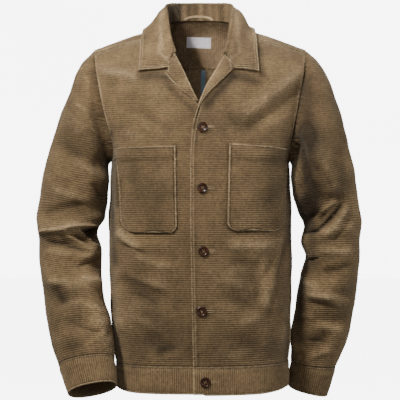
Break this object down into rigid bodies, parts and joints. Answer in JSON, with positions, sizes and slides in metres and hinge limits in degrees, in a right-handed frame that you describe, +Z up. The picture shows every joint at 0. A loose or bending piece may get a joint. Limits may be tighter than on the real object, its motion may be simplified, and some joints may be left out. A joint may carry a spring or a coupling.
{
  "type": "jacket",
  "caption": "Corduroy work jacket with a buttoned front, patch pockets, turned-down collar, waistband and cuffs, filled out as if worn.",
  "frame": {"origin": "between the shoulders, where the wearer's shoulders hold the jacket, level with the top of the shoulder ridge", "axes": "+Z up, +X to the wearer's left, the front faces -Y"},
  "size_m": [0.6311, 0.2564, 0.7813],
  "materials": {
    "corduroy": "olive-brown corduroy with a short matt nap",
    "corduroy_inside": "the same corduroy as the inside yoke, with its wales running down",
    "strap": "tan strap of the hanger loop",
    "button": "very dark brown, polished",
    "label": "plain off-white woven label",
    "tape": "steel-blue cotton binding"
  },
  "bodies": {
    "root": {"front_left": "corduroy", "front_right": "corduroy", "back_left": "corduroy", "back_right": "corduroy", "yoke": "corduroy", "yoke_lining": "corduroy_inside", "sleeve_left_top": "corduroy", "sleeve_left_under": "corduroy", "sleeve_right_top": "corduroy", "sleeve_right_under": "corduroy", "cuff_left": "corduroy", "cuff_right": "corduroy", "waistband": "corduroy", "collar": "corduroy", "lapel_left": "corduroy", "lapel_right": "corduroy", "pocket_left": "corduroy", "pocket_right": "corduroy", "hanger_loop": "strap", "button_1": "button", "button_2": "button", "button_3": "button", "button_4": "button", "button_5": "button", "label": "label", "seam_tape": "tape"}
  },
  "joints": []
}
